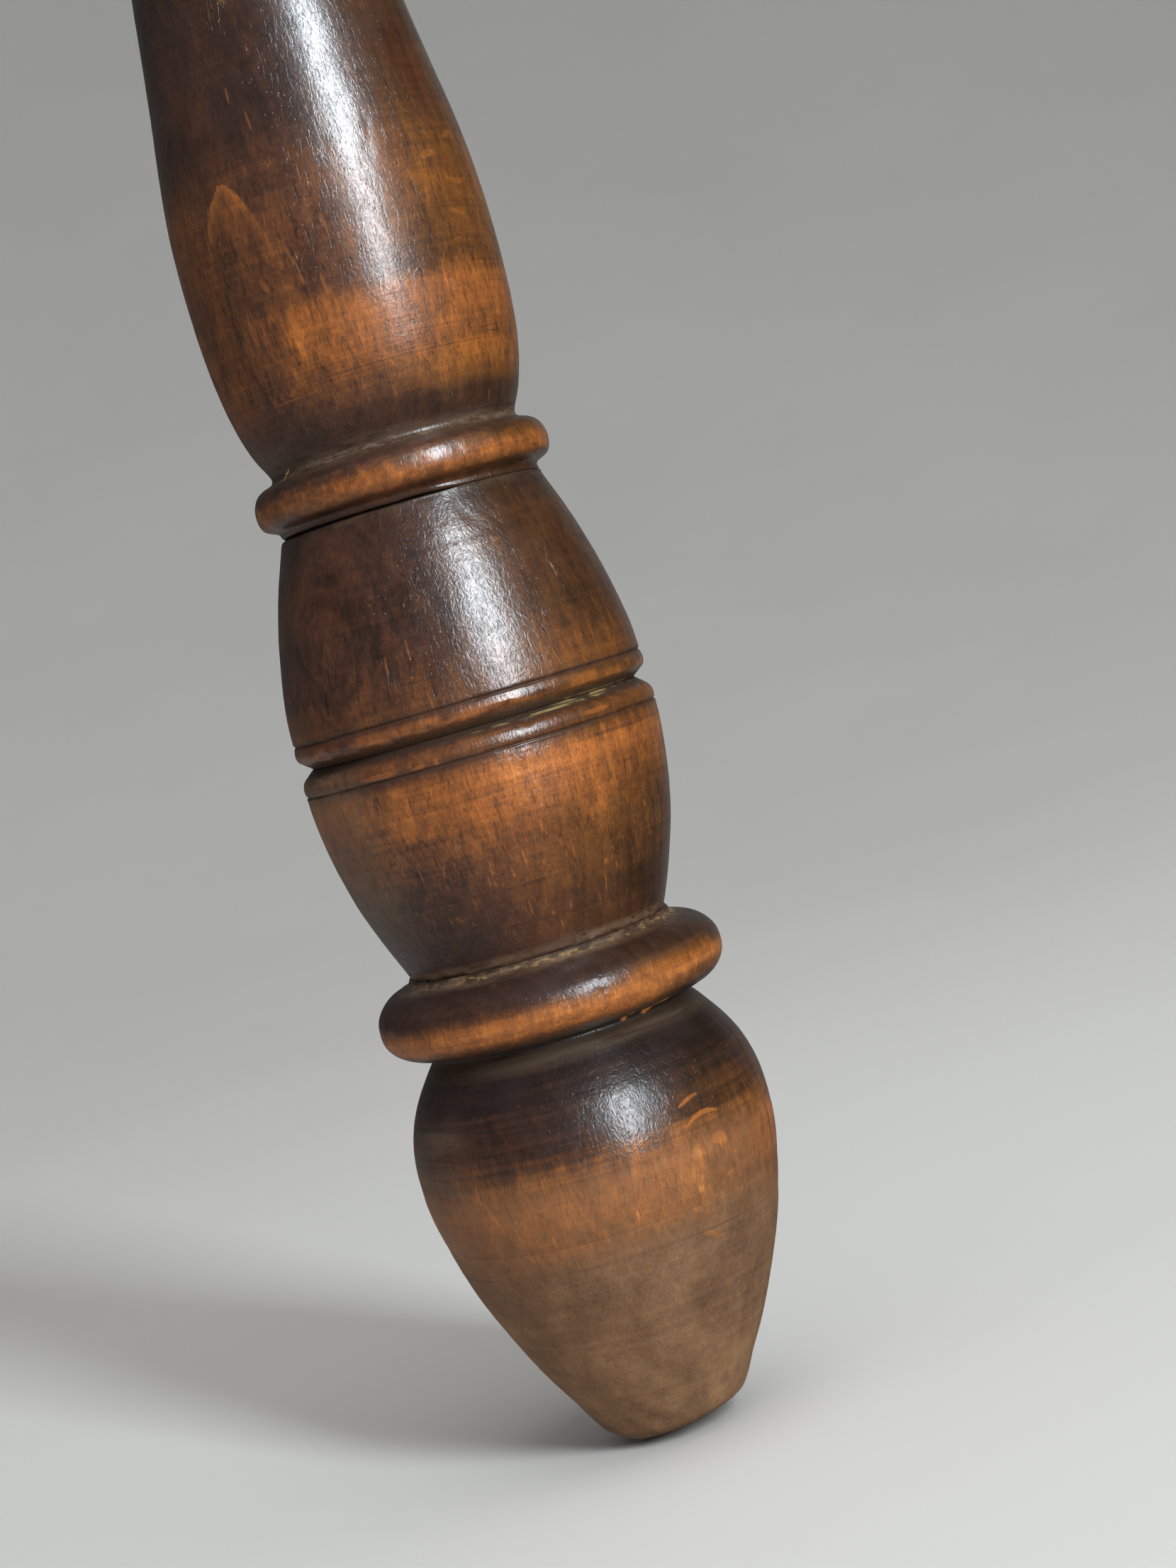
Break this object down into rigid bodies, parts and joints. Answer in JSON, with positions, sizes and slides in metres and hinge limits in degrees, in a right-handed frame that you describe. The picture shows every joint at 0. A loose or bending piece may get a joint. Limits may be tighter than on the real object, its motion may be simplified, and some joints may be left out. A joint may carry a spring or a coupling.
{
  "type": "turned furniture leg",
  "caption": "Turned hardwood leg for a splayed-leg stool or side table, with a turnip foot, a V-grooved barrel, beads and a vase, and a wedged round tenon on top.",
  "frame": {"origin": "middle of the small flat on which the foot bears", "axes": "+Z along the turning axis from the foot to the tenon; the leg is round, so +X and +Y are free"},
  "size_m": [0.05, 0.05, 0.38],
  "materials": {
    "stained_hardwood": "dark stain under satin varnish, rubbed through to orange-brown on the crests",
    "plain_dowel_wood": "unfinished fine-grained hardwood",
    "wedge_wood": "unfinished dark hardwood"
  },
  "bodies": {
    "root": {"foot": "stained_hardwood", "lower_barrel": "stained_hardwood", "upper_barrel": "stained_hardwood", "vase_shaft": "stained_hardwood", "spine_dowel": "plain_dowel_wood", "top_tenon": "plain_dowel_wood", "tenon_wedge": "wedge_wood"}
  },
  "joints": []
}
